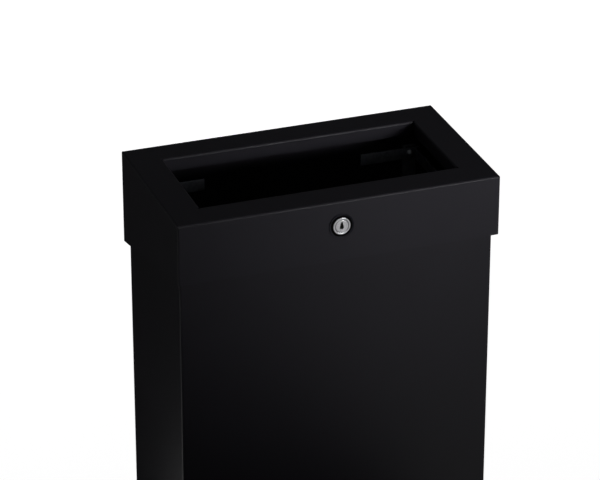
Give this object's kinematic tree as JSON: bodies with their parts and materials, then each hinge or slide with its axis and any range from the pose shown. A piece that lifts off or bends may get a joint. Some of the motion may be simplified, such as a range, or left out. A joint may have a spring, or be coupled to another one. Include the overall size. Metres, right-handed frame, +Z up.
{
  "type": "steel waste bin",
  "caption": "Floor-standing rectangular sheet-steel waste bin with an open framed cover that swings up and back on hidden side pivots and is held shut by a key-operated cam lock.",
  "frame": {"origin": "on the floor, under the middle of the bin", "axes": "+X to the viewer's right when facing the lock, +Y from the locked front to the back, +Z up"},
  "size_m": [0.34, 0.1894, 0.47],
  "materials": {
    "powder_coat": "satin black powder coat",
    "zinc_plate": "dull zinc plating",
    "lock_nickel": "fine-turned bright nickel plating",
    "collar_black": "semi-gloss black enamel",
    "wafer_brass": "plain brass",
    "rivet_alloy": "plain",
    "nylon": "natural white nylon",
    "rubber": "matt black rubber"
  },
  "bodies": {
    "bin_body": {"body_wrap": "powder_coat", "back_panel": "powder_coat", "base_pan": "powder_coat", "rubber_feet": "rubber", "foot_rivets": "rivet_alloy", "rim_strips": "rubber", "hinge_doublers": "powder_coat", "hinge_bushes": "nylon", "lock_keeper": "zinc_plate", "keeper_rivets": "powder_coat", "bag_frame": "zinc_plate", "bag_frame_straps": "zinc_plate", "bag_frame_rivets": "rivet_alloy"},
    "cover": {"cover_shell": "powder_coat", "hinge_nuts": "zinc_plate", "hinge_screws": "zinc_plate", "hinge_washers": "zinc_plate", "lock_collar": "collar_black", "lock_housing": "lock_nickel", "lock_washer": "zinc_plate", "lock_nut": "zinc_plate"},
    "lock_core": {"lock_plug": "lock_nickel", "lock_wafers": "wafer_brass", "lock_cam": "zinc_plate", "cam_washer": "zinc_plate", "cam_screw": "zinc_plate"}
  },
  "joints": [
    {"name": "cover_hinge", "type": "hinge", "parent": "bin_body", "child": "cover", "pos_m": [0, 0.07, 0.396], "axis": [-1, 0, 0], "range_deg": [0, 80]},
    {"name": "lock_turn", "type": "hinge", "parent": "cover", "child": "lock_core", "pos_m": [0, -0.093, 0.443], "axis": [0, 1, 0], "range_deg": [0, 90]}
  ]
}
